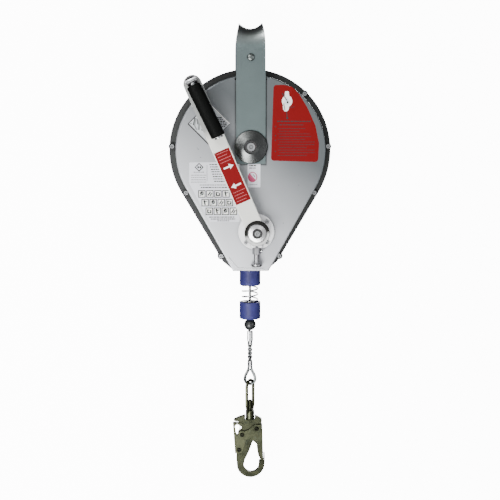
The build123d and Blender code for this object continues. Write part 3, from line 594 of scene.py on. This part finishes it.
def red_label():
    edge = round_off([(37.0, -25.0), (123.4, -27.5), (125.0, 6.0), (118.5, 38.0), (103.5, 71.0), (88.0, 96.0),
                      (75.0, 109.0), (60.0, 112.5), (41.5, 112.0)], 5.5)
    shapes = [(edge, 0, "red")]
    shapes += [(oval(66, 83, 9.5, 10.5), 1, "white"), (oval(64, 72, 5.5, 7.5), 2, "white"),
               (round_off([(61.5, 90), (70, 90), (69, 101), (62.5, 101)], 1.6), 3, "white"),
               (oval(66, 82, 4.6, 5.6), 4, "pale"), (oval(67, 81, 1.8, 2.2), 5, "ink"),
               (stroke(57, 97, 66, 84, 1.6), 6, "ink"), (stroke(65, 66, 66.5, 53, 1.5), 1, "ink"),
               (stroke(68, 70, 80, 73, 1.0), 1, "maroon"), (oval(66.5, 52.5, 2.0, 2.0, 14), 2, "ink"),
               (stroke(60, 79, 62, 67, 1.2), 7, "ink")]
    shapes += dashes(48, 111, 46.5, 2.0, 1, "ink") + dashes(52, 96, 40.2, 1.8, 1, "maroon")
    for k in range(11):
        shapes += dashes(49 + 3 * (k % 2), 101 + 16 * min(1, k / 5) - 14 * (k % 3 == 1), 33.5 - 4.9 * k,
                         1.1, 1, "maroon")
    for z in (37, 20.5, 12, -8):
        shapes.append((oval(45, z, 1.0, 1.3, 10), 1, "ink"))
    decal("warning_label", FACE_Y, shapes, "housing")


def icon(x, z, w, h, kind, level):
    """A framed picture of simple shapes."""
    t = 1.7
    shapes = [(bar(x, x + w, z - h / 2, h), level, "ink"),
              (bar(x + t, x + w - t, z - h / 2, h - 2 * t), level + 1, "white")]
    cx, cz = x + w / 2, z - h / 2
    if kind == 0:
        shapes += [(oval(cx, cz + 1, 3.6, 3.9, 16), level + 2, "ink"),
                   (stroke(cx - 4, cz - 4, cx + 4, cz + 4, 1.7), level + 3, "grey")]
    elif kind == 1:
        shapes += [(oval(cx - 1.5, cz + 3, 1.9, 1.9, 12), level + 2, "ink"),
                   (stroke(cx - 1.5, cz + 2, cx, cz - 4.4, 2.6), level + 3, "ink"),
                   (stroke(cx - 1, cz + 1, cx + 4, cz + 3, 1.6), level + 4, "ink")]
    elif kind == 2:
        shapes += [(round_off([(cx - 4, cz - 4), (cx + 4, cz - 4), (cx + 4, cz + 2), (cx - 4, cz + 4)], 0.8),
                    level + 2, "ink"), (oval(cx, cz, 1.8, 1.8, 12), level + 3, "white")]
    else:
        shapes += [(stroke(cx - 3.6, cz - 3, cx + 1, cz + 4, 2.2), level + 2, "ink"),
                   (stroke(cx, cz - 4, cx + 3.6, cz + 2, 2.4), level + 3, "etched")]
    return shapes


def data_label():
    corners = [(-113.0, -28.0), (-21.0, -28.0), (-21.0, -138.0), (-76.0, -138.0), (-113.5, -66.0)]
    shapes = [(round_off(corners, 2.0), 0, "pale")]
    shapes += [(lozenge(-95, -37, 8.2), 1, "ink"), (lozenge(-95, -37, 5.8), 2, "pale")]
    shapes += [(oval(-96.6, -37, 1.7, 2.2, 12), 3, "ink"), (oval(-92.8, -37, 1.5, 2.2, 12), 3, "ink")]
    shapes += dashes(-105, -86, -46.0, 1.2, 1, "ink")
    for k in range(4):
        shapes += dashes(-110, -82, -51.5 - 4.2 * k, 1.0, 1, "etched")
    shapes.append((stroke(-80.5, -33, -80.5, -62, 0.7), 1, "etched"))
    for k in range(8):
        shapes += dashes(-76 + 1.2 * k, -42 + 2 * k, -32.0 - 4.4 * k, 1.9, 1, "ink" if k % 3 else "etched")
    shapes += dashes(-94, -38, -69.5, 1.4, 1, "etched") + dashes(-92, -44, -74.0, 1.8, 1, "ink")
    for row, (x, z) in enumerate(((-97.0, -79.0), (-91.0, -95.0), (-83.5, -111.0))):
        for k in range(4):
            shapes += icon(x + 14.8 * k, z, 13.6, 13.8, (row + k * 3) % 4, 1)
    shapes += dashes(-77, -30, -128.6, 1.8, 1, "ink") + dashes(-74, -28, -132.2, 1.8, 1, "ink")
    shapes += dashes(-62, -40, -135.6, 1.4, 1, "ink")
    decal("data_label", FACE_Y, shapes, "housing")


def check_label():
    shapes = [(round_off([(-6, -30.5), (17.5, -30.5), (17.5, -74), (-6, -74)], 1.2), 0, "pale")]
    shapes += dashes(-4, 11, -34.2, 2.2, 1, "ink") + dashes(-3, 10, -38.5, 1.8, 1, "ink")
    shapes += [(oval(3.0, -55, 8.6, 9.4), 1, "magenta"), (oval(3.0, -55, 7.0, 7.8), 2, "pale"),
               (oval(3.0, -55, 7.0, 7.8, 30, 130, 322), 3, "magenta"),
               (stroke(-2.5, -49, 8.5, -61, 1.3), 4, "magenta"), (stroke(4, -50, 7.5, -55, 1.0), 5, "ink")]
    shapes += dashes(-2, 12, -68.5, 1.0, 1, "etched")
    decal("inspection_label", FACE_Y, shapes, "housing")


def marked_plate():
    """A square plate on its corner behind the grip, with painted shade along three edges and a painted
    highlight along the upper right one.
    """
    x, z, half = -76.6, 42.0, 37.8
    plate = lozenge(x, z, half)
    left, low, right, top = plate
    shapes = [(plate, 0, "silver")]
    # painted shade along the left edges and the lower right one; painted highlight along the upper right one
    shapes += [(stroke(*left, *top, 1.7), 1, "ink"), (stroke(*left, *low, 2.3), 2, "ink"),
               (stroke(*top, *right, 1.4), 1, "white"), (stroke(*low, *right, 1.0), 1, "etched")]
    shapes += [(stroke(-103.4, 39.4, -100.4, 52.5, 3.4), 1, "grey"),
               (stroke(-98.8, 31, -103.4, 40.4, 2.2), 2, "grey"),
               (stroke(-95.8, 51.1, -94.2, 41, 3.4), 1, "grey"),
               (stroke(-94.2, 42, -95.3, 31, 3.4), 2, "grey"),
               (stroke(-105.3, 39.4, -102.2, 52.5, 1.4), 3, "ink"),
               (stroke(-98.2, 51, -97.0, 41, 1.3), 3, "ink"),
               (oval(-109.3, 42.4, 1.1, 1.3, 10), 1, "ink"),
               (oval(-89.1, 31, 1.2, 1.4, 10), 1, "ink")]
    for k in range(7):
        rise = 11.0 - 3.2 * k
        shapes += dashes(-62.0, x + half - 3.0 - abs(rise), z + rise, 2.2, 1, "etched" if k % 2 else "ink")
    decal("marked_plate", FACE_Y, shapes, "housing")


def cover_marks():
    """A bright line at the foot of the cover, a painted highlight on its fold, and marks of use."""
    # painted highlight along the fold at the foot of the cover
    fold = [(stroke(-41, -203, -24, -223, 0.9), 0, "bright"),
            (stroke(-24, -223, 22, -224.5, 0.8), 1, "bright")]
    decal("lower_fold", FACE_Y, fold, "housing")
    places = ((-96, -4, 1.5), (-92, -19, 0.9), (-60, -172, 0.8),
              (88, -70, 0.8), (60, -140, 1.0), (-98, -2, 0.7))
    marks = [(oval(x, z, rx, 0.5, 10), 0, "etched") for x, z, rx in places]
    decal("scuffs", FACE_Y, marks, "housing")


def arm_label():
    """A red strip on the crank's arm, laid out along and across the arm from the crank's axis."""
    along = Vector((-math.sin(ARM_LEAN), math.cos(ARM_LEAN)))
    across = Vector((math.cos(ARM_LEAN), math.sin(ARM_LEAN)))
    origin = Vector((CRANK_X, CRANK_Z))

    def at(points):
        return [tuple(origin + along * a + across * c) for a, c in points]

    def strip(a, c0, c1, t):
        return at([(a - t / 2, c0), (a - t / 2, c1), (a + t / 2, c1), (a + t / 2, c0)])

    def arrow(a, way):
        return at([(a + da, way * c) for da, c in
                   ((-1.5, -9), (-1.5, 2), (-5.2, 2), (0, 10), (5.2, 2), (1.5, 2), (1.5, -9))])

    shapes = [(at([(62, -14.4), (62, 14.4), (163, 14.4), (163, -14.4)]), 0, "red")]
    shapes += [(arrow(131, 1), 1, "white"), (arrow(95, -1), 1, "white")]
    for k in range(4):
        for low, high in ((159, 142), (84, 67)):
            a = low + (high - low) * k / 3
            c = -10.5
            while c < 9.5 - 2 * (k % 2):
                w = random.uniform(1.5, 4.0)
                shapes.append((strip(a, c, c + w, 1.0), 1, "pink"))
                c += w + 0.8
    decal("arm_label", ARM_Y, shapes, "crank")


red_label()
data_label()
check_label()
marked_plate()
cover_marks()
arm_label()


# ---- small turned pieces ----
def lathe(name, profile, axis, at, coat, body, sides=36):
    """Turns (radius, distance) points about an axis through a point in millimetres."""
    axis = Vector(axis).normalized()
    side = axis.orthogonal().normalized()
    other = axis.cross(side)
    verts, faces = [], []
    for r, d in profile:
        for k in range(sides):
            a = 2 * math.pi * k / sides
            v = Vector(at) + axis * d + (side * math.cos(a) + other * math.sin(a)) * r
            verts.append(P(*v))
    for i in range(len(profile) - 1):
        for k in range(sides):
            n = (k + 1) % sides
            faces.append((i * sides + k, i * sides + n, (i + 1) * sides + n, (i + 1) * sides + k))
    made = new_object(name, verts, faces, coat)
    edge = made.modifiers.new("edge", "BEVEL")
    edge.width = 0.00025
    edge.segments = 2
    edge.limit_method = "ANGLE"
    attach(made, body)


lathe("plunger_set_screw",
      [(0.01, -1.5), (2.2, -1.5), (2.2, 0.6), (3.1, 0.8), (3.1, 3.2),
       (2.5, 3.9), (1.5, 3.9), (1.5, 2.4), (0.01, 2.4)],
      (1, -0.25, 0), (CRANK_X + 7.2, -58.5, NECK_FOOT - 6.2), "bright", "housing")
lathe("cap_seal", [(5.75, 0.0), (5.75, -4.4), (6.2, -4.9), (8.6, -4.9), (9.3, -4.0), (9.3, 0.0)],
      (0, 1, 0), (CRANK_X, -88.65, CRANK_Z), "gasket", "crank", 48)
lathe("washer_seal", [(8.3, 0.0), (8.3, -3.9), (8.7, -4.4), (10.5, -4.4), (10.9, -3.9), (10.9, 0.0)],
      (0, 1, 0), (0, -52.3, 0), "gasket", "housing", 48)


# ---- light, backdrop and camera ----
def area(name, at, aim, size, power, color=(1, 1, 1)):
    light = bpy.data.lights.new(name, "AREA")
    light.shape = "RECTANGLE"
    light.size, light.size_y = size
    light.energy = power
    light.color = color
    lamp = bpy.data.objects.new(name, light)
    bpy.context.collection.objects.link(lamp)
    lamp.location = at
    lamp.rotation_mode = "QUATERNION"
    lamp.rotation_quaternion = (Vector(aim) - Vector(at)).to_track_quat("-Z", "Y")


def backdrop():
    """A glowing pale wall close behind the part, seen from the front only. It lights and shades nothing."""
    mesh = bpy.data.meshes.new("backdrop")
    half, y = 6.0, 0.085
    corners = [(-half, y, -half), (half, y, -half), (half, y, half), (-half, y, half)]
    mesh.from_pydata(corners, [], [(0, 1, 2, 3)])
    wall = bpy.data.objects.new("backdrop", mesh)
    bpy.context.collection.objects.link(wall)
    mat = bpy.data.materials.new("backdrop")
    mat.use_nodes = True
    tree = mat.node_tree
    bsdf = tree.nodes["Principled BSDF"]
    bsdf.inputs["Base Color"].default_value = (0.93, 0.93, 0.93, 1)
    bsdf.inputs["Roughness"].default_value = 0.9
    bsdf.inputs["Emission Color"].default_value = (1, 1, 1, 1)
    bsdf.inputs["Emission Strength"].default_value = 11.0
    clear = tree.nodes.new("ShaderNodeBsdfTransparent")
    back = tree.nodes.new("ShaderNodeNewGeometry").outputs["Backfacing"]
    mix = tree.nodes.new("ShaderNodeMixShader")
    tree.links.new(back, mix.inputs[0])
    tree.links.new(bsdf.outputs[0], mix.inputs[1])
    tree.links.new(clear.outputs[0], mix.inputs[2])
    tree.links.new(mix.outputs[0], tree.nodes["Material Output"].inputs["Surface"])
    mesh.materials.append(mat)
    wall.visible_glossy = False
    wall.visible_diffuse = False
    wall.visible_shadow = False


def world():
    """A soft sky that is bright towards the camera's side and dim behind the part."""
    w = bpy.data.worlds.new("studio")
    bpy.context.scene.world = w
    w.use_nodes = True
    tree = w.node_tree
    bg = tree.nodes["Background"]
    way = tree.nodes.new("ShaderNodeTexCoord").outputs["Generated"]
    toward = tree.nodes.new("ShaderNodeVectorMath")
    toward.operation = "DOT_PRODUCT"
    toward.inputs[1].default_value = (-0.25, -0.93, -0.27)
    tree.links.new(way, toward.inputs[0])
    fade = tree.nodes.new("ShaderNodeMapRange")
    fade.interpolation_type = "SMOOTHSTEP"
    for key, value in (("From Min", 0.0), ("From Max", 0.9), ("To Min", 0.05), ("To Max", 0.62)):
        fade.inputs[key].default_value = value
    tree.links.new(toward.outputs["Value"], fade.inputs["Value"])
    tree.links.new(fade.outputs["Result"], bg.inputs["Strength"])
    bg.inputs["Color"].default_value = (0.97, 0.98, 1.0, 1)


def camera(distance=1.9, azimuth=-2.0, elevation=6.5, target_z=195.3):
    a, e = math.radians(azimuth), math.radians(elevation)
    back = Vector((math.sin(a) * math.cos(e), -math.cos(a) * math.cos(e), math.sin(e)))
    data = bpy.data.cameras.new("camera")
    data.lens = 72
    data.sensor_width = 36
    cam = bpy.data.objects.new("camera", data)
    bpy.context.collection.objects.link(cam)
    cam.location = P(0, 0, -target_z) + back * distance
    cam.rotation_mode = "QUATERNION"
    cam.rotation_quaternion = (-back).to_track_quat("-Z", "Y")
    data.clip_start, data.clip_end = 0.02, 50
    bpy.context.scene.camera = cam


world()
backdrop()
camera()
area("key", (-1.1, -1.9, 1.1), (0, 0, -0.3), (0.9, 0.9), 46)
area("low", (-0.7, -1.7, -1.15), (0, 0, -0.35), (1.1, 0.8), 62)
area("fill", (1.7, -1.5, -0.1), (0, 0, -0.3), (0.7, 1.4), 16, (0.94, 0.95, 1.0))
area("back", (0.7, 1.9, 0.5), (0, 0, -0.35), (1.1, 1.1), 80)
